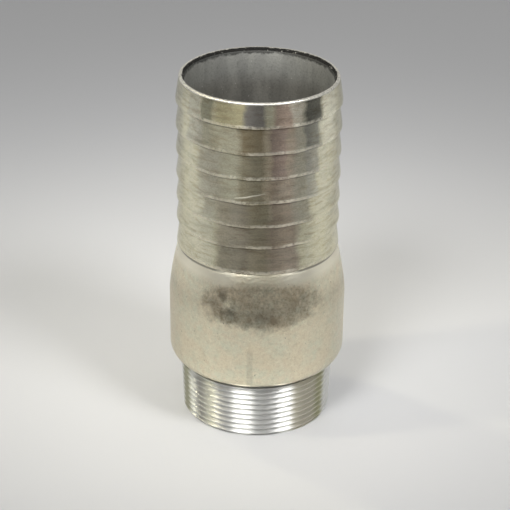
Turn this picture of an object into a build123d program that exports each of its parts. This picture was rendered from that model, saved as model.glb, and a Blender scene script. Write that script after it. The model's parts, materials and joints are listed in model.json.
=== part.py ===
# A hose barb tail in zinc-plated steel: one tube, formed and turned in one piece.
# From the bottom up it is a taper pipe thread, a plain swelled collar and a saw-tooth hose shank.
# The origin is the centre of the threaded end face, and +Z runs up towards the hose end.
from build123d import *
import math
import os

# Taper pipe thread of nominal size 2, Whitworth form, eleven turns to the inch
THREAD_PITCH = 25.4 / 11
THREAD_DEPTH = 1.479
THREAD_FLANK_ANGLE = 27.5
THREAD_TAPER = 1 / 16
GAUGE_DIAMETER = 59.614
GAUGE_LENGTH = 15.9
THREAD_LENGTH = 24.2
THREAD_END_CHAMFER = 0.7
THREAD_START_ANGLE = 71.5
RELIEF_WIDTH = 2.0
RELIEF_EXTRA_DEPTH = 0.1
CUTTER_OVERHANG = 0.05

# Collar, swelled out of the tube between the thread and the shank
COLLAR_DIAMETER = 69.0
COLLAR_LENGTH = 27.8
COLLAR_FOOT_DIAMETER = 63.6
COLLAR_FOOT_HEIGHT = 4.8
SHOULDER_LENGTH = 20.2
SHOULDER_TOP_DIAMETER = 60.8

# Hose shank with saw-tooth barbs, each widest at its lower edge
BARB_COUNT = 7
BARB_PITCH = 9.68
BARB_ROOT_DIAMETER = 60.0
BARB_CREST_DIAMETER = 62.6
BARB_CREST_LAND = 0.5
BARB_UNDERCUT = 0.5
RIM_EDGE_CHAMFER = 0.4

# Inside of the tube, which follows the outside
THREAD_BORE_DIAMETER = 52.5
THREAD_BORE_LENGTH = 22.0
THREAD_BORE_CHAMFER = 0.5
FLARE_LENGTH = 12.0
COLLAR_BORE_DIAMETER = 61.0
SHANK_BORE_DIAMETER = 55.8
RIM_BEVEL_WIDTH = 0.9
RIM_BEVEL_DEPTH = 1.8

# Heights above the threaded end face
RELIEF_BOTTOM = THREAD_LENGTH - RELIEF_WIDTH
COLLAR_TOP = THREAD_LENGTH + COLLAR_LENGTH
SHOULDER_TOP = COLLAR_TOP + SHOULDER_LENGTH
SHANK_BASE = SHOULDER_TOP + BARB_UNDERCUT
TOTAL_LENGTH = SHANK_BASE + BARB_COUNT * BARB_PITCH

UP = (0, 0, 1)
DOWN = (0, 0, -1)


def at(radius, height):
    """A point of the half section."""
    return (radius, 0, height)


def crest_radius(height):
    """Radius over the thread's crests at a height above the threaded end face."""
    return (GAUGE_DIAMETER + (height - GAUGE_LENGTH) * THREAD_TAPER) / 2


def thread_outline():
    """Outside of the uncut thread and its relief, up to the collar's underside."""
    relief_radius = crest_radius(THREAD_LENGTH) - THREAD_DEPTH - RELIEF_EXTRA_DEPTH
    return Polyline(
        at(crest_radius(0) - THREAD_END_CHAMFER, 0),
        at(crest_radius(THREAD_END_CHAMFER), THREAD_END_CHAMFER),
        at(crest_radius(RELIEF_BOTTOM), RELIEF_BOTTOM),
        at(relief_radius, RELIEF_BOTTOM),
        at(relief_radius, THREAD_LENGTH),
        at(COLLAR_FOOT_DIAMETER / 2, THREAD_LENGTH),
    )


def collar_outline():
    """Outside of the collar: a rounded foot, a straight wall and a long convex shoulder."""
    foot_start = at(COLLAR_FOOT_DIAMETER / 2, THREAD_LENGTH)
    foot_end = at(COLLAR_DIAMETER / 2, THREAD_LENGTH + COLLAR_FOOT_HEIGHT)
    wall_end = at(COLLAR_DIAMETER / 2, COLLAR_TOP)
    shoulder_end = at(SHOULDER_TOP_DIAMETER / 2, SHOULDER_TOP)
    foot = TangentArc(foot_end, foot_start, tangent=DOWN)
    shoulder = TangentArc(wall_end, shoulder_end, tangent=UP)
    return foot + Line(foot_end, wall_end) + shoulder


def shank_outline():
    """Outside of the shank: each barb steps out at its base and slopes in towards the hose end."""
    root = BARB_ROOT_DIAMETER / 2
    crest = BARB_CREST_DIAMETER / 2
    points = [at(SHOULDER_TOP_DIAMETER / 2, SHOULDER_TOP)]
    for barb in range(BARB_COUNT):
        base = SHANK_BASE + barb * BARB_PITCH
        points.append(at(root, base - BARB_UNDERCUT))
        points.append(at(crest, base))
        points.append(at(crest, base + BARB_CREST_LAND))
    points.append(at(root, TOTAL_LENGTH - RIM_EDGE_CHAMFER))
    points.append(at(root - RIM_EDGE_CHAMFER, TOTAL_LENGTH))
    return Polyline(*points)


def inside_outline():
    """Inside of the tube, from the rim's bevel down to the threaded end."""
    thread_bore = THREAD_BORE_DIAMETER / 2
    collar_bore = COLLAR_BORE_DIAMETER / 2
    shank_bore = SHANK_BORE_DIAMETER / 2
    return Polyline(
        at(BARB_ROOT_DIAMETER / 2 - RIM_EDGE_CHAMFER, TOTAL_LENGTH),
        at(shank_bore + RIM_BEVEL_WIDTH, TOTAL_LENGTH),
        at(shank_bore, TOTAL_LENGTH - RIM_BEVEL_DEPTH),
        at(shank_bore, SHOULDER_TOP),
        at(collar_bore, COLLAR_TOP),
        at(collar_bore, THREAD_BORE_LENGTH + FLARE_LENGTH),
        at(thread_bore, THREAD_BORE_LENGTH),
        at(thread_bore, THREAD_BORE_CHAMFER),
        at(thread_bore + THREAD_BORE_CHAMFER, 0),
        at(crest_radius(0) - THREAD_END_CHAMFER, 0),
    )


def tube():
    """The whole tube before its thread is cut."""
    outline = thread_outline() + collar_outline() + shank_outline() + inside_outline()
    return revolve(make_face(outline), axis=Axis.Z)


def groove_corners(start):
    """Radius and height of the groove section's corners where a turn starts, in order round it."""
    flank_slope = math.tan(math.radians(THREAD_FLANK_ANGLE))
    root_half = (THREAD_PITCH / 2 - THREAD_DEPTH * flank_slope) / 2
    outer_half = root_half + (THREAD_DEPTH + CUTTER_OVERHANG) * flank_slope
    root_radius = crest_radius(start) - THREAD_DEPTH
    outer_radius = crest_radius(start) + CUTTER_OVERHANG
    return [
        (root_radius, start - root_half),
        (outer_radius, start - outer_half),
        (outer_radius, start + outer_half),
        (root_radius, start + root_half),
    ]


def groove_stretch(start, height):
    """The solid that cuts the groove from a height up, with ruled faces between conical helices."""
    cone_angle = math.atan(THREAD_TAPER / 2)
    edges = []
    for radius, base in groove_corners(start):
        edges.append(Helix(
            pitch=THREAD_PITCH / math.cos(cone_angle),
            height=height,
            radius=radius,
            center=at(0, base),
            cone_angle=math.degrees(cone_angle),
        ))
    sides = [Face.make_surface_from_curves(edge, edges[index - 1]) for index, edge in enumerate(edges)]
    ends = [make_face(Polyline(*[edge @ place for edge in edges], close=True)).face() for place in (0, 1)]
    return Solid(Shell(sides + ends))


def cut_thread(blank):
    """Cuts the groove turn by turn, from below the end face up to the middle of the relief."""
    groove_top = THREAD_LENGTH - RELIEF_WIDTH / 2
    start = -1.5 * THREAD_PITCH
    while start < groove_top:
        height = min(THREAD_PITCH, groove_top - start)
        blank -= groove_stretch(start, height).rotate(Axis.Z, THREAD_START_ANGLE)
        start += THREAD_PITCH
    return blank


hose_tail = cut_thread(tube())

os.makedirs("parts", exist_ok=True)
export_step(hose_tail, "parts/hose_tail.step")
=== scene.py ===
# Dresses the hose barb tail: a finely turned mesh with its true thread, five steel finishes,
# a pale floor, soft lamps and a camera at the photograph's angle.
import json
import math

import bpy
from mathutils import Matrix, Vector, noise


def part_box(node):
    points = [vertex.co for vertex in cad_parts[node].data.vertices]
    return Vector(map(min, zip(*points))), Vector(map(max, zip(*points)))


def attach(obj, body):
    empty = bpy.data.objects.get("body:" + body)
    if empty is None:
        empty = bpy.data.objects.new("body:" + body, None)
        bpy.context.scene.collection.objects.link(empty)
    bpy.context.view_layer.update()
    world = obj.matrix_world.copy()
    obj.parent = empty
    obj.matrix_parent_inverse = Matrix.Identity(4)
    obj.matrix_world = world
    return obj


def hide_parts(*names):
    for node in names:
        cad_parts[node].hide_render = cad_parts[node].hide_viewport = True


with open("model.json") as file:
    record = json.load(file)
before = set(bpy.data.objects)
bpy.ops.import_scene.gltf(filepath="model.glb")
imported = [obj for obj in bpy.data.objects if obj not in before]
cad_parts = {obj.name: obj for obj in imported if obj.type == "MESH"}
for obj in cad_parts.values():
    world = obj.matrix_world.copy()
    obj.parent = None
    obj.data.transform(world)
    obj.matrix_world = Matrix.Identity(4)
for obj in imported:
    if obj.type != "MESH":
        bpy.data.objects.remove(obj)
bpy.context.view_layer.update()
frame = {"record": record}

# The fitting's sizes are in millimetres, and the main ones come from the frame
MM = 0.001
NODE = "hose_tail"
MOUNTS = {mount["name"]: mount for mount in frame["record"]["mounts"]}
TOTAL_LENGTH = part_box(NODE)[1][2] / MM
COLLAR_RADIUS = MOUNTS["collar"]["dims"]["r_mm"]
COLLAR_WALL_LENGTH = MOUNTS["collar"]["dims"]["length_mm"]
COLLAR_WALL_MIDDLE = MOUNTS["collar"]["pos_m"][2] / MM
THREAD_GAUGE_RADIUS = MOUNTS["male_thread"]["dims"]["r_mm"]
THREAD_LENGTH = MOUNTS["male_thread"]["dims"]["length_mm"]
CREST_RADIUS = MOUNTS["hose_shank"]["dims"]["r_mm"]
SHANK_LENGTH = MOUNTS["hose_shank"]["dims"]["length_mm"]
SHANK_BORE_RADIUS = MOUNTS["shank_bore"]["dims"]["r_mm"]
SHANK_BORE_LENGTH = MOUNTS["shank_bore"]["dims"]["length_mm"]
THREAD_BORE_RADIUS = MOUNTS["thread_bore"]["dims"]["r_mm"]
THREAD_BORE_LENGTH = MOUNTS["thread_bore"]["dims"]["length_mm"]

# Taper pipe thread
THREAD_PITCH = 25.4 / 11
THREAD_DEPTH = 1.479
THREAD_FLANK_ANGLE = math.radians(27.5)
THREAD_ROUND = 0.317
THREAD_TAPER_SLOPE = 1 / 32
GAUGE_LENGTH = 15.9
THREAD_END_CHAMFER = 0.7
RELIEF_WIDTH = 2.0
RELIEF_RADIUS = 28.49
# Height of a groove in front, and of the crest beside it on the +X side
FRONT_GROOVE_HEIGHT = 20.9
SIDE_CREST_HEIGHT = FRONT_GROOVE_HEIGHT - THREAD_PITCH / 4

# Collar, shank, rim and bore
COLLAR_FOOT_RADIUS = 31.8
SHOULDER_TOP_RADIUS = 30.4
ROOT_RADIUS = 30.0
BARB_COUNT = 7
BARB_UNDERCUT = 0.5
CREST_LAND = 0.5
RIM_EDGE = 0.4
RIM_BEVEL_WIDTH = 0.9
RIM_BEVEL_DEPTH = 1.8
BORE_EDGE = 0.5
COLLAR_BORE_RADIUS = 30.5
FLARE_LENGTH = 12.0
# How far each crest, from the lowest up, lies off an even spacing
CREST_DRIFT = (0.0, 0.9, -0.1, -0.3, -0.3, -0.2, 0.3)
# The top barb's slope ends this far below the rim's edge and outside the root
SLOPE_END_DROP = 0.35
SLOPE_END_STEP = 0.05

# Heights up the shoulder and the surface's lean there, in degrees
SHOULDER_LEANS = ((51.5, 0.0), (53.0, 5.0), (57.0, 8.5), (68.6, 13.0), (69.6, 18.0), (72.2, 25.0))

# Rounds in place of sharp corners
FOOT_ROUND = 0.35
CREST_LOWER_ROUND = 0.22
CREST_UPPER_ROUND = 0.2
RIM_ROUND = 0.2
BEVEL_ROUND = 0.12
BORE_ROUND = 3.0

# Fineness of the mesh: columns round it, and rows up the thread, rounds, arcs and straight stretches
COLUMNS = 280
ROWS_PER_TURN = 18
ROUND_STEPS = 3
FOOT_STEPS = 9
WALL_STEPS = 8
LONG_STEPS = 5
SHORT_STEPS = 3
SHARP_ANGLE = math.radians(38)

WALL_LOW = COLLAR_WALL_MIDDLE - COLLAR_WALL_LENGTH / 2
WALL_HIGH = COLLAR_WALL_MIDDLE + COLLAR_WALL_LENGTH / 2
SHANK_BASE = TOTAL_LENGTH - SHANK_LENGTH
SHOULDER_TOP = SHANK_BASE - BARB_UNDERCUT
BARB_PITCH = SHANK_LENGTH / BARB_COUNT
RELIEF_BOTTOM = THREAD_LENGTH - RELIEF_WIDTH
BEVEL_LOW = TOTAL_LENGTH - RIM_BEVEL_DEPTH

# The finishes, in the order of the mesh's material slots
THREAD, COLLAR, SHANK, RIM, BORE = range(5)

# Unevenness of each zone from forming, rolling and handling, as rows of noise: how fast it changes
# across and along the tube, and its height
ROLLED = ((0.12, 0.4, 0.03), (0.9, 1.8, 0.01))
UNEVENNESS = {
    THREAD: ((0.3, 0.3, 0.01),),
    COLLAR: ((0.09, 0.09, 0.05), (0.6, 0.78, 0.006)),
    SHANK: ROLLED,
    RIM: ROLLED,
    BORE: ((0.1, 0.1, 0.06),),
}
# The collar lies this far back, so that its unevenness stays inside its size
COLLAR_SET_BACK = 0.056
# Noise that moves a barb's ring up and down, and the stretch below the rim over which it fades out
CREST_WANDER = ((0.1, 0.1, 0.35), (0.7, 0.2, 0.09))
WANDER_END = TOTAL_LENGTH - 2
WANDER_FADE = 3
# What counts as the corner under a barb, above the root, and as its crest, below the crest's radius
CORNER_BAND = 0.01
CREST_BAND = 0.15


def thread_crest(height):
    """Radius over the thread's crests."""
    return THREAD_GAUGE_RADIUS + (height - GAUGE_LENGTH) * THREAD_TAPER_SLOPE


def thread_form(distance):
    """Depth of the rounded thread form below its crest, at a distance from the crest's middle."""
    half = THREAD_PITCH / 2
    edge = THREAD_ROUND * math.cos(THREAD_FLANK_ANGLE)
    if distance < edge:
        return THREAD_ROUND - math.sqrt(THREAD_ROUND ** 2 - distance ** 2)
    if distance > half - edge:
        return THREAD_DEPTH - THREAD_ROUND + math.sqrt(THREAD_ROUND ** 2 - (half - distance) ** 2)
    return THREAD_DEPTH / 2 + (distance - half / 2) / math.tan(THREAD_FLANK_ANGLE)


def thread_surface(height, angle):
    """Radius of the threaded surface, cut down to a chamfer at the end."""
    crest = SIDE_CREST_HEIGHT + THREAD_PITCH * angle / math.tau
    turns = (height - crest) / THREAD_PITCH
    distance = abs(turns - round(turns)) * THREAD_PITCH
    radius = thread_crest(height) - thread_form(distance)
    if height < THREAD_END_CHAMFER:
        radius = min(radius, thread_crest(0) - THREAD_END_CHAMFER + height)
    return radius


def straight(start, end, steps):
    """Points along a straight stretch of the section, without its start."""
    return [Vector(start).lerp(Vector(end), step / steps) for step in range(1, steps + 1)]


def tangent_arc(wall, end, steps):
    """Points along an arc that leaves an upright wall and reaches end, without its start."""
    wall, end = Vector(wall), Vector(end)
    across, along = wall.x - end.x, end.y - wall.y
    radius = (across ** 2 + along ** 2) / (2 * across)
    sweep = math.asin(along / radius)
    points = []
    for step in range(1, steps + 1):
        turn = sweep * step / steps
        points.append(Vector((wall.x - radius + radius * math.cos(turn), wall.y + radius * math.sin(turn))))
    return points


def rounded(before, corner, after, size):
    """Points of a small round in place of a sharp corner."""
    before, corner, after = Vector(before), Vector(corner), Vector(after)
    start = corner + (before - corner).normalized() * size
    end = corner + (after - corner).normalized() * size
    points = []
    for step in range(ROUND_STEPS + 1):
        share = step / ROUND_STEPS
        points.append(start.lerp(corner, share).lerp(corner.lerp(end, share), share))
    return points


def thread_rows():
    """Section of the threaded end, from its bore edge out and up to the collar's underside.

    The rows up the thread have a radius of 0 here, and turned_mesh gives them the thread's own.
    """
    inner = (THREAD_BORE_RADIUS + BORE_EDGE, 0)
    outer = (thread_crest(0) - THREAD_END_CHAMFER, 0)
    points = straight(inner, outer, SHORT_STEPS)
    count = round(RELIEF_BOTTOM / THREAD_PITCH * ROWS_PER_TURN)
    points += [Vector((0, RELIEF_BOTTOM * row / count)) for row in range(1, count + 1)]
    points += [Vector((RELIEF_RADIUS, RELIEF_BOTTOM)), Vector((RELIEF_RADIUS, THREAD_LENGTH))]
    return [(point, THREAD) for point in points]


def shoulder(start):
    """Points up the shoulder, whose lean changes evenly between the places of SHOULDER_LEANS."""
    points, here = [], start.copy()
    for (low, lean_low), (high, lean_high) in zip(SHOULDER_LEANS, SHOULDER_LEANS[1:]):
        rise = (high - low) / LONG_STEPS
        for step in range(LONG_STEPS):
            lean = lean_low + (lean_high - lean_low) * (step + 0.5) / LONG_STEPS
            here = here + Vector((-rise * math.tan(math.radians(lean)), rise))
            points.append(here)
    points[-1] = Vector((SHOULDER_TOP_RADIUS, SHOULDER_TOP))
    return points


def collar_rows():
    """Section of the collar: underside, rounded foot, wall and convex shoulder."""
    foot = Vector((COLLAR_FOOT_RADIUS, THREAD_LENGTH))
    # The foot's arc leaves the wall downwards, so it is worked out with its heights mirrored
    foot_up = tangent_arc((COLLAR_RADIUS, -WALL_LOW), (COLLAR_FOOT_RADIUS, -THREAD_LENGTH), FOOT_STEPS)
    foot_points = [Vector((point.x, -point.y)) for point in reversed(foot_up)]
    points = rounded((RELIEF_RADIUS, THREAD_LENGTH), foot, foot_points[1], FOOT_ROUND)
    points += foot_points[1:]
    points += straight((COLLAR_RADIUS, WALL_LOW), (COLLAR_RADIUS, SHOULDER_LEANS[0][0]), WALL_STEPS)
    points += shoulder(points[-1])
    return [(point, COLLAR) for point in points]


def barb_base(barb):
    """Height of a barb's lower edge."""
    if barb == BARB_COUNT:
        return TOTAL_LENGTH
    return SHANK_BASE + barb * BARB_PITCH + CREST_DRIFT[barb]


def shank_rows():
    """Section of the barbs: each steps out at its base and slopes in towards the hose end."""
    points = []
    for barb in range(BARB_COUNT):
        base = barb_base(barb)
        root = (ROOT_RADIUS, base - BARB_UNDERCUT)
        lower = (CREST_RADIUS, base)
        upper = (CREST_RADIUS, base + CREST_LAND)
        slope_end = (ROOT_RADIUS, barb_base(barb + 1) - BARB_UNDERCUT)
        points += [Vector(root)]
        points += rounded(root, lower, upper, CREST_LOWER_ROUND)
        points += rounded(lower, upper, slope_end, CREST_UPPER_ROUND)[1:]
        points += straight(upper, slope_end, LONG_STEPS)[:-1]
    points += [Vector((ROOT_RADIUS + SLOPE_END_STEP, TOTAL_LENGTH - RIM_EDGE - SLOPE_END_DROP))]
    return [(point, SHANK) for point in points]


def rim_rows():
    """Section of the rim: its outer edge, flat land and inner bevel."""
    below = (ROOT_RADIUS, BEVEL_LOW)
    outer = (ROOT_RADIUS, TOTAL_LENGTH - RIM_EDGE)
    land_out = (ROOT_RADIUS - RIM_EDGE, TOTAL_LENGTH)
    land_in = (SHANK_BORE_RADIUS + RIM_BEVEL_WIDTH, TOTAL_LENGTH)
    bevel = (SHANK_BORE_RADIUS, BEVEL_LOW)
    points = rounded(below, outer, land_out, RIM_ROUND)
    points += rounded(outer, land_out, land_in, RIM_ROUND)
    points += rounded(land_out, land_in, bevel, BEVEL_ROUND)
    points += straight(land_in, bevel, SHORT_STEPS)[:-1]
    return [(point, RIM) for point in points]


def bore_rows():
    """Section of the inside, from the rim's bevel down to the threaded end."""
    bevel = (SHANK_BORE_RADIUS, BEVEL_LOW)
    shank_low = (SHANK_BORE_RADIUS, BEVEL_LOW - SHANK_BORE_LENGTH)
    chamber_top = (COLLAR_BORE_RADIUS, WALL_HIGH)
    flare_low = (THREAD_BORE_RADIUS, BORE_EDGE + THREAD_BORE_LENGTH)
    chamber_low = (COLLAR_BORE_RADIUS, flare_low[1] + FLARE_LENGTH)
    edge = (THREAD_BORE_RADIUS, BORE_EDGE)
    points = [Vector(bevel)]
    points += straight(bevel, shank_low, LONG_STEPS)[:-1]
    bends = (bevel, shank_low, chamber_top, chamber_low, flare_low, edge)
    for before, corner, after in zip(bends, bends[1:], bends[2:]):
        points += rounded(before, corner, after, BORE_ROUND)
    points += straight(flare_low, edge, SHORT_STEPS)
    points += [Vector((THREAD_BORE_RADIUS + BORE_EDGE, 0))]
    return [(point, BORE) for point in points]


def waves(rows, x, y, z):
    """Sum of some rows of noise at a point."""
    total = 0.0
    for across, along, height in rows:
        total += height * noise.noise(Vector((x * across, y * across, z * along)))
    return total


def unevenness(zone, x, y, z):
    """How far a point of the surface lies off its ideal radius."""
    set_back = COLLAR_SET_BACK if zone == COLLAR else 0.0
    return waves(UNEVENNESS[zone], x, y, z) - set_back


def crest_wander(zone, x, y, z):
    """How far a barb's ring lies above or below its true height. It fades out below the faced rim."""
    if zone != SHANK:
        return 0.0
    fade = min(max((WANDER_END - z) / WANDER_FADE, 0), 1)
    return fade * waves(CREST_WANDER, x, y, z)


def groove_share(zone, threaded, radius, height):
    """1 at the bottom of a groove or in the corner under a barb, 0 in the open."""
    if threaded:
        return (thread_crest(height) - radius) / THREAD_DEPTH
    return 1.0 if zone == SHANK and radius < ROOT_RADIUS + CORNER_BAND else 0.0


def edge_share(zone, radius):
    """1 on the barbs' crests, where a highlight is painted."""
    return 1.0 if zone == SHANK and radius > CREST_RADIUS - CREST_BAND else 0.0


def turned_mesh():
    """The whole surface as one closed grid of rings, section point by section point."""
    rows = thread_rows() + collar_rows() + shank_rows() + rim_rows() + bore_rows()
    vertices, faces, zones, grooves, edges = [], [], [], [], []
    for point, zone in rows:
        threaded = zone == THREAD and point.x == 0
        for column in range(COLUMNS):
            angle = math.tau * column / COLUMNS
            radius = thread_surface(point.y, angle) if threaded else point.x
            grooves.append(groove_share(zone, threaded, radius, point.y))
            edges.append(edge_share(zone, radius))
            x, y = radius * math.cos(angle), radius * math.sin(angle)
            radius += unevenness(zone, x, y, point.y)
            height = point.y + crest_wander(zone, x, y, point.y)
            vertices.append((radius * math.cos(angle) * MM, radius * math.sin(angle) * MM, height * MM))
    for row in range(len(rows)):
        following = (row + 1) % len(rows)
        for column in range(COLUMNS):
            beside = (column + 1) % COLUMNS
            faces.append((
                row * COLUMNS + column,
                row * COLUMNS + beside,
                following * COLUMNS + beside,
                following * COLUMNS + column,
            ))
            zones.append(rows[following][1])
    mesh = bpy.data.meshes.new("turned_tube")
    mesh.from_pydata(vertices, [], faces)
    mesh.attributes.new("groove", "FLOAT", "POINT").data.foreach_set("value", grooves)
    mesh.attributes.new("edge", "FLOAT", "POINT").data.foreach_set("value", edges)
    mesh.polygons.foreach_set("material_index", zones)
    mesh.polygons.foreach_set("use_smooth", [True] * len(faces))
    mesh.set_sharp_from_angle(angle=SHARP_ANGLE)
    mesh.update()
    return mesh


class Nodes:
    """A node tree, with short calls for the nodes that the finishes and the surroundings share."""

    def __init__(self, tree):
        self.tree = tree

    def node(self, kind, inputs=None, **settings):
        made = self.tree.nodes.new(kind)
        for name, value in settings.items():
            setattr(made, name, value)
        for name, value in (inputs or {}).items():
            self.put(made.inputs[name], value)
        return made

    def put(self, socket, value):
        """Links a socket to another, or sets it to a plain value."""
        if isinstance(value, bpy.types.NodeSocket):
            self.tree.links.new(value, socket)
        else:
            socket.default_value = value

    def math(self, operation, first, second=0.0):
        return self.node("ShaderNodeMath", {0: first, 1: second}, operation=operation).outputs["Value"]

    def add(self, first, second):
        return self.math("ADD", first, second)

    def times(self, first, second):
        return self.math("MULTIPLY", first, second)

    def square(self, value):
        return self.math("POWER", value, 2.0)

    def ramp(self, value, low, high, start=0.0, end=1.0, **settings):
        """From start, where value is at low, to end, where it is at high."""
        limits = {"From Min": low, "From Max": high, "To Min": start, "To Max": end}
        return self.node("ShaderNodeMapRange", {"Value": value, **limits}, **settings).outputs["Result"]


class Shader(Nodes):
    """A material, with the places, patches and films on its surface that the finishes share."""

    def __init__(self, name):
        self.material = bpy.data.materials.new(name)
        self.material.use_nodes = True
        super().__init__(self.material.node_tree)
        self.surface = self.tree.nodes["Principled BSDF"]
        place = self.node("ShaderNodeTexCoord").outputs["Object"]
        to_mm = self.node("ShaderNodeVectorMath", {0: place, "Scale": 1 / MM}, operation="SCALE")
        self.place = to_mm.outputs["Vector"]
        self.x, self.y, self.z = self.node("ShaderNodeSeparateXYZ", {"Vector": self.place}).outputs
        turn = self.math("ARCTAN2", self.x, self.times(self.y, -1.0))
        self.angle = self.math("DEGREES", turn)

    def clouds(self, size, detail=3.0, roughness=0.55, stretch=(1, 1, 1)):
        """Noise whose patches are about size millimetres across, longer where stretch is below 1."""
        place = self.node("ShaderNodeMapping", {"Vector": self.place, "Scale": stretch}).outputs["Vector"]
        made = self.node("ShaderNodeTexNoise", {
            "Vector": place, "Scale": 1 / size, "Detail": detail, "Roughness": roughness,
        })
        return made.outputs["Fac"]

    def patches(self, size, low, high, start=0.0, end=1.0, **clouds):
        """Patches of a noise: start where it is at low, and end where it is at high."""
        return self.ramp(self.clouds(size, **clouds), low, high, start, end)

    def grain(self, size):
        """Fine grain of the metal."""
        return self.clouds(size, detail=2.0, roughness=0.7)

    def pits(self, size):
        """1 in a few small pits."""
        return self.patches(size, 0.25, 0.21, detail=1.0)

    def near(self, value, middle, reach, soft):
        """1 where value lies within reach of middle, fading to 0 over soft."""
        away = self.math("ABSOLUTE", self.math("SUBTRACT", value, middle))
        return self.ramp(away, reach, reach + soft, 1.0, 0.0)

    def field(self, angle, half_angle, low, high, fade):
        """1 on the patch within half_angle of an angle from the front, in degrees, and between two heights.

        Its sides fade over so many degrees, a sixth of them inside, and its ends over a millimetre.
        """
        across = self.near(self.angle, angle, half_angle - fade / 6, fade)
        along = self.near(self.z, (low + high) / 2, (high - low) / 2, 1.0)
        return self.times(across, along)

    def spot(self, angle, height, reach):
        """1 in the middle of a ragged round spot, at an angle from the front in degrees and a height."""
        turn = math.radians(angle)
        middle = (COLLAR_RADIUS * math.sin(turn), -COLLAR_RADIUS * math.cos(turn), height)
        away = self.node("ShaderNodeVectorMath", {0: self.place, 1: middle}, operation="DISTANCE")
        edge = self.patches(reach, 0.3, 0.7, -0.4 * reach, 0.4 * reach, roughness=0.6)
        return self.ramp(self.add(away.outputs["Value"], edge), reach * 1.3, reach * 0.4)

    def attribute(self, name):
        return self.node("ShaderNodeAttribute", attribute_name=name).outputs["Fac"]

    def shade(self, base, share, strength, warmth=0.0):
        """Darkens a colour to strength where share is 1, and takes more of its blue away with warmth."""
        film = colour(strength, strength * (1 - warmth / 2), strength * (1 - warmth))
        return self.blend(share, base, self.blend(1.0, base, film, "MULTIPLY"))

    def blend(self, share, first, second, mode="MIX"):
        """Colour between two. Inputs 6 and 7 and output 2 of the mix node are its colour sockets."""
        made = self.node("ShaderNodeMix", {"Factor": share}, data_type="RGBA", blend_type=mode)
        self.put(made.inputs[6], first)
        self.put(made.inputs[7], second)
        return made.outputs[2]

    def bump(self, height, depth, strength, below=None):
        """Relief of a depth in millimetres, on top of the relief below."""
        made = self.node("ShaderNodeBump", {"Height": height, "Distance": depth * MM, "Strength": strength})
        if below is not None:
            self.put(made.inputs["Normal"], below)
        return made.outputs["Normal"]

    def around(self):
        """Tangent that runs round the tube, along the turning marks."""
        return self.node("ShaderNodeTangent", direction_type="RADIAL", axis="Z").outputs["Tangent"]

    def finish(self, **values):
        """Sets the surface's sockets, whose names have _ here in place of a space."""
        for name, value in values.items():
            self.put(self.surface.inputs[name.replace("_", " ")], value)
        return self.material


def colour(red, green, blue):
    return (red, green, blue, 1.0)


# Stretch of the marks that a cutting tool leaves, which run round the tube
ALONG_CUT = (0.02, 0.02, 1)
# Turn of the anisotropic gloss that lays it across those marks
ACROSS_CUT = 0.25

# Painted reflections on the shank: bright and dark bands that stand in for those the surroundings cast in
# turned barbs. Angle from the front and half width in degrees, lowest and highest barb, counted from 0 at
# the bottom, colour, and how strongly it covers
REFLECTION_BANDS = (
    (-37.5, 4.0, 6, 6, (0.40, 0.39, 0.28), 0.85),
    (-38.5, 7.0, 5, 5, (0.50, 0.48, 0.36), 0.75),
    (-34.0, 10.0, 3, 4, (0.60, 0.57, 0.46), 0.72),
    (-36.0, 5.0, 2, 2, (0.64, 0.62, 0.50), 0.6),
    (-50.0, 6.0, 5, 6, (0.64, 0.62, 0.52), 0.7),
    (-20.0, 10.0, 6, 6, (0.86, 0.77, 0.44), 0.72),
    (-24.0, 9.0, 5, 5, (0.80, 0.75, 0.54), 0.65),
    (-19.0, 7.0, 3, 4, (0.70, 0.67, 0.49), 0.65),
    (-3.0, 5.5, 6, 6, (0.36, 0.34, 0.32), 0.88),
    (6.5, 3.5, 3, 5, (0.80, 0.66, 0.48), 0.6),
    (-4.3, 7.5, 5, 5, (0.40, 0.32, 0.19), 0.83),
    (-4.3, 7.8, 3, 4, (0.45, 0.40, 0.27), 0.83),
    (-3.0, 8.5, 2, 2, (0.41, 0.36, 0.24), 0.81),
    (-2.0, 9.0, 0, 1, (0.47, 0.41, 0.29), 0.81),
    (17.3, 5.6, 6, 6, (0.60, 0.44, 0.36), 0.80),
    (18.3, 8.2, 3, 5, (0.52, 0.42, 0.33), 0.78),
    (18.0, 9.0, 1, 2, (0.40, 0.31, 0.24), 0.78),
    (18.5, 9.0, 0, 0, (0.46, 0.37, 0.30), 0.78),
    (14.5, 3.8, 4, 5, (0.54, 0.42, 0.36), 0.70),
    (32.0, 6.0, 2, 5, (0.60, 0.57, 0.46), 0.75),
    (27.0, 4.0, 6, 6, (0.90, 0.84, 0.70), 0.8),
    (-19.0, 9.5, 1, 2, (0.49, 0.44, 0.34), 0.76),
    (-18.0, 9.5, 0, 0, (0.38, 0.34, 0.26), 0.76),
    (40.0, 6.5, 6, 6, (0.16, 0.16, 0.14), 0.92),
    (40.2, 5.5, 5, 5, (0.32, 0.32, 0.28), 0.85),
    (40.0, 5.0, 4, 4, (0.52, 0.51, 0.45), 0.75),
    (40.0, 4.0, 3, 3, (0.66, 0.65, 0.56), 0.7),
    (57.0, 6.0, 5, 6, (1.00, 0.97, 0.78), 0.9),
    (120.0, 8.0, 2, 5, (0.60, 0.57, 0.44), 0.6),
    (150.0, 7.0, 4, 6, (0.54, 0.54, 0.54), 0.6),
    (-95.0, 6.0, 3, 6, (0.55, 0.54, 0.44), 0.6),
    (-150.0, 9.0, 1, 4, (0.74, 0.64, 0.56), 0.6),
    (178.0, 6.0, 5, 6, (0.95, 0.88, 0.62), 0.6),
)
# Degrees by which a band's edges wander, and the share of its half width over which they fade
REFLECTION_BAND_WANDER = 3.0
REFLECTION_BAND_FADE = 0.6

# Scratch on a barb: its height in front, its rise for each degree round the tube, its half width, and
# its middle and half length in degrees
SCRATCH_HEIGHT = 105.0
SCRATCH_RISE = 0.10
SCRATCH_HALF_WIDTH = 0.10
SCRATCH_MIDDLE = -5.0
SCRATCH_HALF_LENGTH = 7.0
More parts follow.
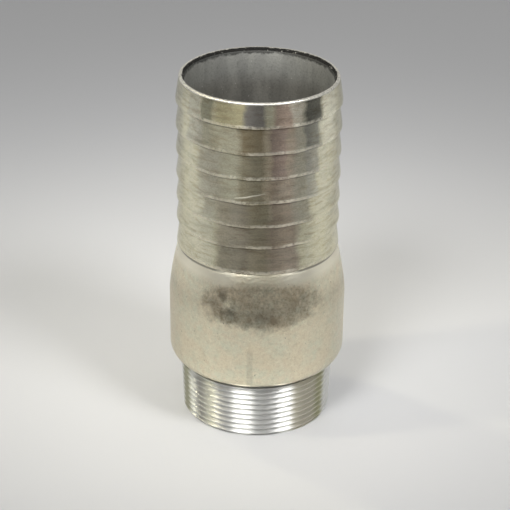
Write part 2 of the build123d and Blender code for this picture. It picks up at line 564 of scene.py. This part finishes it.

# Degrees from the front between which the painted highlight on the crests falls off, and the share that is
# left
CREST_HIGHLIGHT_ANGLES = (35.0, 60.0)
CREST_HIGHLIGHT_AT_BACK = 0.35


def plating_and_painted_reflections(shader):
    """Colour of the shank's plating, with painted reflection bands. The shader's angle wanders a little from
    here on.
    """
    broad = shader.patches(7.0, 0.40, 0.60, roughness=0.6, stretch=(1, 1, 0.12))
    tint = shader.blend(broad, colour(0.90, 0.86, 0.63), colour(0.88, 0.85, 0.66))
    wander = shader.patches(9.0, 0.2, 0.8, -REFLECTION_BAND_WANDER, REFLECTION_BAND_WANDER, detail=4.0, roughness=0.6)
    shader.angle = shader.add(shader.angle, wander)
    # Painted reflections: bright and dark bands at fixed angles round the shank
    for angle, half_angle, lowest, highest, shade, share in REFLECTION_BANDS:
        low, high = barb_base(lowest), barb_base(highest + 1)
        field = shader.field(angle, half_angle, low, high, half_angle * REFLECTION_BAND_FADE)
        tint = shader.blend(shader.times(field, share), tint, colour(*shade))
    return tint


def highlight_and_wear_on_crests(shader):
    """1 on the barbs' crests where a highlight is painted, in broken stretches and most in front. It also
    adds wear to their roughness.
    """
    long_gaps = shader.patches(9.0, 0.40, 0.55, 0.25, detail=2.0, roughness=0.6)
    short_gaps = shader.patches(1.4, 0.40, 0.55, 0.45, roughness=0.7)
    crests = shader.ramp(shader.attribute("edge"), 0.5, 0.9)
    front = shader.ramp(shader.math("ABSOLUTE", shader.angle), *CREST_HIGHLIGHT_ANGLES, 1.0, CREST_HIGHLIGHT_AT_BACK)
    return shader.times(shader.times(crests, shader.times(long_gaps, short_gaps)), front)


def scratch_mark(shader):
    """1 along the thin scratch."""
    line = shader.math("SUBTRACT", shader.z, shader.times(shader.angle, SCRATCH_RISE))
    across = shader.near(line, SCRATCH_HEIGHT, SCRATCH_HALF_WIDTH, 0.25)
    along = shader.near(shader.angle, SCRATCH_MIDDLE, SCRATCH_HALF_LENGTH, 6.0)
    return shader.times(across, along)


def shank_steel():
    """Turned barbs: fine rings, plating with painted reflection bands, smudges, a painted highlight on the
    crests, painted shade in the corners and a faint scratch.
    """
    shader = Shader("shank_steel")
    tint = plating_and_painted_reflections(shader)
    smears = shader.patches(6.0, 0.46, 0.68, roughness=0.6, stretch=(0.7, 0.7, 3.0))
    tint = shader.shade(tint, smears, 0.80)
    smudges = shader.patches(3.2, 0.50, 0.64, roughness=0.6, stretch=(0.5, 0.5, 2.5))
    tint = shader.shade(tint, smudges, 0.84, 0.08)
    grain = shader.grain(0.5)
    tint = shader.shade(tint, shader.ramp(grain, 0.45, 0.72), 0.74)
    # Painted shade in the corners under the barbs
    corner_shade = shader.ramp(shader.attribute("groove"), 0.70, 0.95)
    tint = shader.shade(tint, corner_shade, 0.35)
    crest_highlight_and_wear = highlight_and_wear_on_crests(shader)
    # Painted highlight on the crests, brightest in front
    tint = shader.blend(shader.times(crest_highlight_and_wear, 0.6), tint, colour(0.95, 0.90, 0.76))
    tint = shader.shade(tint, shader.pits(1.0), 0.45)
    scratch = scratch_mark(shader)
    tint = shader.blend(shader.times(scratch, 0.5), tint, colour(0.95, 0.92, 0.82))
    rough = shader.ramp(grain, 0.3, 0.7, 0.18, 0.28)
    rough = shader.add(rough, shader.times(crest_highlight_and_wear, 0.10))
    rough = shader.add(rough, shader.times(scratch, 0.12))
    rings = shader.clouds(0.22, detail=2.0, roughness=0.6, stretch=ALONG_CUT)
    normal = shader.bump(rings, 0.02, 0.35)
    normal = shader.bump(grain, 0.04, 0.5, normal)
    return shader.finish(
        Base_Color=tint, Metallic=1.0, Roughness=rough, Anisotropic=0.85, Anisotropic_Rotation=ACROSS_CUT,
        Tangent=shader.around(), Normal=normal,
    )


# Painted dark reflection on the collar's shoulder, as of the dim floor ahead: its middle and half width in
# degrees from the front, the height of its broadest level there and how much lower that lies at the half
# width, and how far down it reaches
DARK_REFLECTION_MIDDLE = 3.0
DARK_REFLECTION_HALF_ANGLE = 42.0
DARK_REFLECTION_LEVEL = 66.0
DARK_REFLECTION_SAG = 5.0
DARK_REFLECTION_DEPTH = 14.5
# How ragged its outline is, and between which shares of its size it fades in
DARK_REFLECTION_RAGGEDNESS = 0.3
DARK_REFLECTION_OUTLINE = (1.15, 0.75)
# Heights between which its top edge fades in, and between which its lower part darkens
DARK_REFLECTION_TOP = (69.5, 67.0)
DARK_REFLECTION_DARKENING = (63.0, 57.0)

# Spots in the painted dark reflection: angle from the front in degrees, height, reach and strength
DARK_REFLECTION_SPOTS = (
    (-23.5, 64.0, 3.0, 0.42),
    (-30.0, 59.5, 2.8, 0.76),
    (-18.0, 56.5, 3.2, 0.62),
    (3.0, 54.5, 5.0, 0.68),
    (22.0, 60.0, 3.5, 0.88),
    (32.0, 61.5, 2.8, 0.76),
    (-20.0, 59.6, 2.2, 1.35),
)

# Strip over the seam: its place across, half width, middle height and half length, and where it fades in
# towards the front
SEAM_ACROSS = -2.6
SEAM_HALF_WIDTH = 0.9
SEAM_MIDDLE = 32.0
SEAM_HALF_LENGTH = 8.5
SEAM_FRONT = (-5.0, -15.0)

# Where the collar's painted shade and highlight fade in, from none to full: degrees from the front, and
# heights
SIDE_SHADE_ANGLES = (30.0, 60.0)
SIDE_SHADE_HEIGHTS = (64.0, 58.0)
TOP_HIGHLIGHT_ANGLES = (12.0, 22.0)
TOP_HIGHLIGHT_HEIGHTS = (66.0, 69.0)
NECK_SHADE_ANGLES = (22.0, 32.0)
FRONT_NECK_ANGLES = (32.0, 20.0)
FRONT_NECK_HEIGHTS = (69.5, 71.0)
FOOT_HEIGHTS = (THREAD_LENGTH + 4.5, THREAD_LENGTH + 1.5)
FOOT_EDGE_HEIGHTS = (THREAD_LENGTH + 0.9, THREAD_LENGTH + 0.3)


def mottled_steel(shader):
    """Colour of the collar without its marks: mottled patches, blotches, grain and pale flecks."""
    patches = shader.patches(9.0, 0.38, 0.62)
    tint = shader.blend(patches, colour(0.87, 0.79, 0.60), colour(0.81, 0.79, 0.62))
    blotches = shader.patches(2.6, 0.42, 0.62, roughness=0.6)
    tint = shader.blend(shader.times(blotches, 0.6), tint, colour(0.86, 0.77, 0.59))
    tint = shader.shade(tint, shader.patches(1.9, 0.45, 0.75, roughness=0.6), 0.90, 0.06)
    tint = shader.shade(tint, shader.ramp(shader.grain(0.7), 0.48, 0.78), 0.87)
    flecks = shader.patches(1.2, 0.57, 0.65, 0.0, 0.45, detail=2.0, roughness=0.7)
    return shader.blend(flecks, tint, colour(0.97, 0.91, 0.72))


def add_painted_dark_reflection(shader, tint):
    """Adds a painted dark reflection on the shoulder's front, as of the dim floor ahead: cloudy and
    speckled, and darkest low down.
    """
    away = shader.math("SUBTRACT", shader.angle, DARK_REFLECTION_MIDDLE)
    across = shader.square(shader.math("DIVIDE", away, DARK_REFLECTION_HALF_ANGLE))
    level = shader.add(shader.z, shader.times(across, DARK_REFLECTION_SAG))
    drop = shader.math("DIVIDE", shader.math("SUBTRACT", DARK_REFLECTION_LEVEL, level), DARK_REFLECTION_DEPTH)
    reach = shader.add(across, shader.square(shader.math("MAXIMUM", drop, 0.0)))
    ragged = shader.patches(5.0, 0.3, 0.7, -DARK_REFLECTION_RAGGEDNESS, DARK_REFLECTION_RAGGEDNESS, detail=4.0, roughness=0.65)
    reach = shader.add(reach, ragged)
    dark_reflection = shader.times(shader.ramp(reach, *DARK_REFLECTION_OUTLINE), shader.ramp(level, *DARK_REFLECTION_TOP))
    cloudy = shader.patches(3.2, 0.38, 0.60, 1.0, 0.35, roughness=0.6)
    # Painted dark reflection: cloudy, darker low down, speckled and spotted
    tint = shader.shade(tint, shader.times(dark_reflection, cloudy), 0.68, 0.12)
    tint = shader.shade(tint, shader.times(dark_reflection, shader.ramp(shader.z, *DARK_REFLECTION_DARKENING)), 0.80)
    speckle = shader.patches(0.9, 0.45, 0.65, roughness=0.7)
    tint = shader.shade(tint, shader.times(dark_reflection, speckle), 0.74)
    for angle, height, spot_reach, strength in DARK_REFLECTION_SPOTS:
        tint = shader.shade(tint, shader.spot(angle, height, spot_reach), strength)
    return tint


def seam_strip(shader):
    """1 on the strip over the seam, in front only."""
    across = shader.near(shader.x, SEAM_ACROSS, SEAM_HALF_WIDTH, 0.5)
    along = shader.near(shader.z, SEAM_MIDDLE, SEAM_HALF_LENGTH, 2.0)
    return shader.times(shader.times(across, along), shader.ramp(shader.y, *SEAM_FRONT))


def collar_steel():
    """Formed collar: satin, mottled like fine orange peel, with a seam strip and a few pits.

    It has a painted dark reflection on the shoulder's front, a painted highlight on the shoulder's top, and
    painted shade on its sides, neck and foot.
    """
    shader = Shader("collar_steel")
    tint = mottled_steel(shader)
    turned_away = shader.math("ABSOLUTE", shader.angle)
    # Painted shade: the collar's sides darker below the shoulder
    side_shade = shader.times(shader.ramp(turned_away, *SIDE_SHADE_ANGLES), shader.ramp(shader.z, *SIDE_SHADE_HEIGHTS))
    tint = shader.shade(tint, side_shade, 0.76)
    # Painted highlight: the shoulder's top lighter beside the painted dark reflection
    beside_dark_reflection = shader.ramp(turned_away, *TOP_HIGHLIGHT_ANGLES)
    top_highlight = shader.times(beside_dark_reflection, shader.ramp(shader.z, *TOP_HIGHLIGHT_HEIGHTS))
    tint = shader.blend(shader.times(top_highlight, 0.9), tint, colour(1.0, 0.95, 0.78))
    tint = shader.shade(tint, shader.times(seam_strip(shader), 0.45), 0.72)
    tint = add_painted_dark_reflection(shader, tint)
    # Painted shade in the corner under the lowest barb, at the sides
    neck_shade = shader.near(shader.z, SHOULDER_TOP, 0.5, 0.4)
    tint = shader.shade(tint, shader.times(shader.ramp(turned_away, *NECK_SHADE_ANGLES), neck_shade), 0.35)
    # Painted shade that dims the neck's highlight in front
    in_front = shader.ramp(turned_away, *FRONT_NECK_ANGLES)
    front_neck_shade = shader.times(in_front, shader.ramp(shader.z, *FRONT_NECK_HEIGHTS))
    tint = shader.shade(tint, front_neck_shade, 0.84)
    # Painted shade: the foot darker towards the bottom, and darkest along its lower edge
    tint = shader.shade(tint, shader.ramp(shader.z, *FOOT_HEIGHTS), 0.88)
    tint = shader.shade(tint, shader.ramp(shader.z, *FOOT_EDGE_HEIGHTS), 0.40)
    tint = shader.shade(tint, shader.pits(1.1), 0.55)
    grain = shader.grain(0.7)
    rough = shader.ramp(grain, 0.3, 0.7, 0.28, 0.42)
    peel = shader.clouds(1.3, detail=2.0, roughness=0.6)
    normal = shader.bump(peel, 0.20, 0.5)
    normal = shader.bump(grain, 0.10, 0.5, normal)
    return shader.finish(Base_Color=tint, Metallic=1.0, Roughness=rough, Normal=normal)


# Painted reflection bands on the thread, darker and tinted between its lamp highlights: angle from the front
# and half width in degrees, and colour
THREAD_REFLECTION_BANDS = (
    (-47.5, 5.0, (0.62, 0.61, 0.57)),
    (-25.0, 4.5, (0.72, 0.72, 0.70)),
    (4.5, 5.5, (0.78, 0.78, 0.76)),
    (13.5, 3.0, (0.74, 0.74, 0.72)),
    (-40.0, 3.5, (0.84, 0.84, 0.76)),
    (-72.0, 5.0, (0.56, 0.55, 0.42)),
    (45.0, 13.0, (0.75, 0.72, 0.62)),
    (59.0, 3.0, (0.58, 0.57, 0.40)),
    (-105.0, 7.0, (0.66, 0.64, 0.52)),
    (130.0, 10.0, (0.70, 0.68, 0.60)),
)
# Degrees over which a band fades at its sides
THREAD_BAND_FADE = 6.0


def thread_steel():
    """Cut thread: bright, marked along the cut, with painted reflection bands, and its crests painted a
    little darker than the roots.
    """
    shader = Shader("thread_steel")
    marks = shader.clouds(0.16, detail=2.0, roughness=0.6, stretch=ALONG_CUT)
    tint = shader.shade(colour(0.97, 0.97, 0.93), shader.ramp(shader.grain(0.7), 0.48, 0.78), 0.94)
    # Painted reflection bands at fixed angles round the thread
    for angle, half_angle, shade in THREAD_REFLECTION_BANDS:
        field = shader.field(angle, half_angle, 0.0, THREAD_LENGTH, THREAD_BAND_FADE)
        tint = shader.blend(field, tint, colour(*shade))
    # Crests painted a little darker than the roots, evening out their highlights
    crests = shader.ramp(shader.attribute("groove"), 0.9, 0.4)
    tint = shader.shade(tint, crests, 0.92)
    rough = shader.ramp(marks, 0.3, 0.7, 0.40, 0.46)
    normal = shader.bump(marks, 0.01, 0.3)
    return shader.finish(
        Base_Color=tint, Metallic=1.0, Roughness=rough, Anisotropic=0.9, Anisotropic_Rotation=ACROSS_CUT,
        Tangent=shader.around(), Normal=normal,
    )


# Greatest amount that noise adds to the radius, to make the bevel ragged, and the sums at which the
# bevel begins and is fully dull
BEVEL_NOISE = 0.9
BEVEL_START = 29.5
BEVEL_FULL = 29.2


def rim_steel():
    """Faced rim: a bright land, and a dull ragged bevel inside it with a few bright flecks."""
    shader = Shader("rim_steel")
    marks = shader.clouds(0.8)
    radius = shader.math("SQRT", shader.add(shader.square(shader.x), shader.square(shader.y)))
    ragged = shader.add(radius, shader.times(shader.clouds(2.5, roughness=0.7), BEVEL_NOISE))
    flecks = shader.patches(1.3, 0.74, 0.62, 0.5, detail=2.0, roughness=0.6)
    bevel = shader.times(shader.ramp(ragged, BEVEL_START, BEVEL_FULL), flecks)
    tint = shader.shade(colour(0.86, 0.83, 0.74), shader.ramp(marks, 0.45, 0.7), 0.6)
    tint = shader.shade(tint, bevel, 0.02)
    metal = shader.ramp(bevel, 0.0, 1.0, 1.0, 0.0)
    rough = shader.add(shader.ramp(marks, 0.3, 0.7, 0.30, 0.45), shader.times(bevel, 0.3))
    normal = shader.bump(marks, 0.1, 0.5)
    return shader.finish(
        Base_Color=tint, Metallic=metal, Roughness=rough, Specular_IOR_Level=0.1, Normal=normal,
    )


# Ring of painted shade inside the bore: its middle height, half width, and the length over which it fades
BORE_RING_HEIGHT = 121.0
BORE_RING_HALF_WIDTH = 3.5
BORE_RING_FADE = 7.0
# Dark edge under the rim's bevel: how far below the top it starts and is fully dark, and its raggedness
BORE_EDGE_START = 2.6
BORE_EDGE_FULL = 1.8
BORE_EDGE_RAGGEDNESS = 0.6


def bore_steel():
    """Inside of the tube: dull grey plating with runs down the wall, and a ring of painted shade."""
    shader = Shader("bore_steel")
    runs = shader.clouds(6.0, detail=4.0, roughness=0.6, stretch=(1, 1, 0.25))
    tint = shader.blend(shader.ramp(runs, 0.35, 0.65), colour(0.32, 0.32, 0.30), colour(0.40, 0.40, 0.37))
    grain = shader.grain(0.8)
    tint = shader.shade(tint, shader.ramp(grain, 0.48, 0.78), 0.75)
    # Painted shade: a darker ring partway down the bore
    shade_ring = shader.near(shader.z, BORE_RING_HEIGHT, BORE_RING_HALF_WIDTH, BORE_RING_FADE)
    tint = shader.shade(tint, shade_ring, 0.82, 0.06)
    specks = shader.patches(0.9, 0.70, 0.76, detail=2.0, roughness=0.6)
    tint = shader.blend(shader.times(specks, 0.6), tint, colour(0.80, 0.79, 0.74))
    wander = shader.patches(2.5, 0.3, 0.7, -BORE_EDGE_RAGGEDNESS, BORE_EDGE_RAGGEDNESS, roughness=0.7)
    ragged = shader.add(shader.z, wander)
    edge = shader.ramp(ragged, TOTAL_LENGTH - BORE_EDGE_START, TOTAL_LENGTH - BORE_EDGE_FULL)
    tint = shader.shade(tint, edge, 0.30)
    rough = shader.ramp(runs, 0.3, 0.7, 0.58, 0.70)
    normal = shader.bump(grain, 0.1, 0.4)
    return shader.finish(Base_Color=tint, Metallic=1.0, Roughness=rough, Normal=normal)


def dress_tube():
    """Puts the detailed tube in place of the plain one."""
    mesh = turned_mesh()
    for finish in (thread_steel, collar_steel, shank_steel, rim_steel, bore_steel):
        mesh.materials.append(finish())
    tube = bpy.data.objects.new("plated_tube", mesh)
    bpy.context.scene.collection.objects.link(tube)
    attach(tube, "root")
    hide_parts(NODE)


# The sizes and places of the surroundings are in metres
FLOOR_HALF_WIDTH = 6.0
FLOOR_GREY = 0.60


def lay_floor():
    """A plain pale floor, not part of the object."""
    side = FLOOR_HALF_WIDTH
    mesh = bpy.data.meshes.new("floor")
    corner_shade = [(-side, -side, 0), (side, -side, 0), (side, side, 0), (-side, side, 0)]
    mesh.from_pydata(corner_shade, [], [(0, 1, 2, 3)])
    grey = colour(FLOOR_GREY, FLOOR_GREY, FLOOR_GREY)
    mesh.materials.append(Shader("pale_floor").finish(Base_Color=grey, Roughness=0.7))
    floor = bpy.data.objects.new("floor", mesh)
    bpy.context.scene.collection.objects.link(floor)


# What the lamps point at, a little behind the tube's axis. Their distances and heights start there
LAMP_AIM = Vector((0, 0.04, 0.05))
STRAIGHT_UP = 90
WHITE = (1, 1, 1)

# Soft boxes that point at the object: name, azimuth and elevation in degrees, size, power and colour
SOFT_BOXES = (
    ("key_left", -25, 46, (0.26, 0.22), 0.18, WHITE),
    ("key_right", 46, 46, (0.22, 0.22), 0.155, WHITE),
    ("side_left", -73, 45, (0.05, 0.30), 0.055, (1.0, 0.93, 0.72)),
    ("back_left", -122, 45, (0.04, 0.30), 0.042, (1.0, 0.95, 0.70)),
)
BOX_DISTANCE = 0.75
BOX_SPREAD = 36

# Soft boxes that face straight down: name, place across and ahead, size and power
POOLS = (
    ("pool_left", -0.46, -0.42, (0.35, 0.30), 0.36),
    ("pool_right", 0.42, -0.48, (0.30, 0.25), 0.24),
    ("side_pool_left", -0.52, 0.05, (0.40, 0.50), 0.54),
    ("side_pool_right", 0.52, 0.05, (0.40, 0.50), 0.54),
)
POOL_HEIGHT = 0.43
POOL_SPREAD = 50

CEILING_SIZE = (1.3, 1.0)
CEILING_HEIGHT = 0.45
CEILING_SET_BACK = 0.37
CEILING_POWER = 0.25
CEILING_SPREAD = 42

# The surroundings near the horizon, from the camera's side to behind: where a direction's backward part
# lies between these two, their brightness goes from one grey to the other
BACKWARD = (-0.55, 0.25)
HORIZON_GREYS = (0.02, 0.70)
# Upward parts of a direction between which the upper greys take over, and the second one follows the first
ABOVE_HORIZON = (0.08, 0.24)
OVERHEAD = (0.55, 0.80)
UPPER_GREYS = (0.48, 0.38)


def hang_lamp(name, azimuth, elevation, distance, size, power, spread, tint=WHITE):
    """A rectangular soft box that points at the object. Azimuth 0 is the camera's side and 90 its right."""
    around, up = math.radians(azimuth), math.radians(elevation)
    away = Vector((math.sin(around) * math.cos(up), -math.cos(around) * math.cos(up), math.sin(up)))
    light = bpy.data.lights.new(name, "AREA")
    light.shape = "RECTANGLE"
    light.size, light.size_y = size
    light.energy = power
    light.spread = math.radians(spread)
    light.color = tint
    lamp = bpy.data.objects.new(name, light)
    lamp.location = LAMP_AIM + away * distance
    lamp.rotation_euler = away.to_track_quat("Z", "Y").to_euler()
    bpy.context.scene.collection.objects.link(lamp)
    return lamp


def light_world():
    """Surroundings: low down dark on the camera's side and brighter elsewhere, and an even grey above."""
    world = bpy.data.worlds.new("studio")
    bpy.context.scene.world = world
    world.use_nodes = True
    nodes = Nodes(world.node_tree)
    direction = nodes.node("ShaderNodeTexCoord").outputs["Generated"]
    parts = nodes.node("ShaderNodeSeparateXYZ", {"Vector": direction}).outputs
    smooth = {"interpolation_type": "SMOOTHSTEP"}
    horizon = nodes.ramp(parts["Y"], *BACKWARD, *HORIZON_GREYS, **smooth)
    above = nodes.ramp(parts["Z"], *ABOVE_HORIZON, **smooth)
    upper = nodes.ramp(parts["Z"], *OVERHEAD, *UPPER_GREYS, **smooth)
    mix = nodes.node("ShaderNodeMix", {"Factor": above, "A": horizon, "B": upper})
    background = world.node_tree.nodes["Background"]
    nodes.put(background.inputs["Strength"], mix.outputs["Result"])
    nodes.put(background.inputs["Color"], colour(*WHITE))


def light_scene():
    """Two keys, two narrow strips on the left, a weak ceiling set back, and four pools on the floor.

    The pools hang lower than the ceiling, because lamps that overlap in one plane lose light.
    """
    ceiling = hang_lamp(
        "ceiling", 180, STRAIGHT_UP, CEILING_HEIGHT, CEILING_SIZE, CEILING_POWER, CEILING_SPREAD,
    )
    ceiling.location.y = CEILING_SET_BACK
    for name, azimuth, elevation, size, power, tint in SOFT_BOXES:
        hang_lamp(name, azimuth, elevation, BOX_DISTANCE, size, power, BOX_SPREAD, tint)
    for name, x, y, size, power in POOLS:
        pool = hang_lamp(name, 0, STRAIGHT_UP, POOL_HEIGHT, size, power, POOL_SPREAD)
        pool.location.x, pool.location.y = x, y
    light_world()


# The photograph's view: a long lens that looks down on the fitting, with a slight roll
CAMERA_PLACE = (-0.00097, -0.5744, 0.3581)
CAMERA_LENS = 116.4
CAMERA_SENSOR = 36
LOOK_DOWN = 27.03
CAMERA_ROLL = 0.62


def place_camera():
    """Sets up the camera of the photograph's view."""
    camera = bpy.data.objects.new("camera", bpy.data.cameras.new("camera"))
    camera.data.lens = CAMERA_LENS
    camera.data.sensor_width = CAMERA_SENSOR
    camera.location = CAMERA_PLACE
    tilt = Matrix.Rotation(math.radians(90 - LOOK_DOWN), 3, "X")
    roll = Matrix.Rotation(math.radians(CAMERA_ROLL), 3, "Z")
    camera.rotation_euler = (tilt @ roll).to_euler()
    bpy.context.scene.collection.objects.link(camera)
    bpy.context.scene.camera = camera


place_camera()
dress_tube()
lay_floor()
light_scene()
bpy.context.scene.view_settings.view_transform = "Standard"
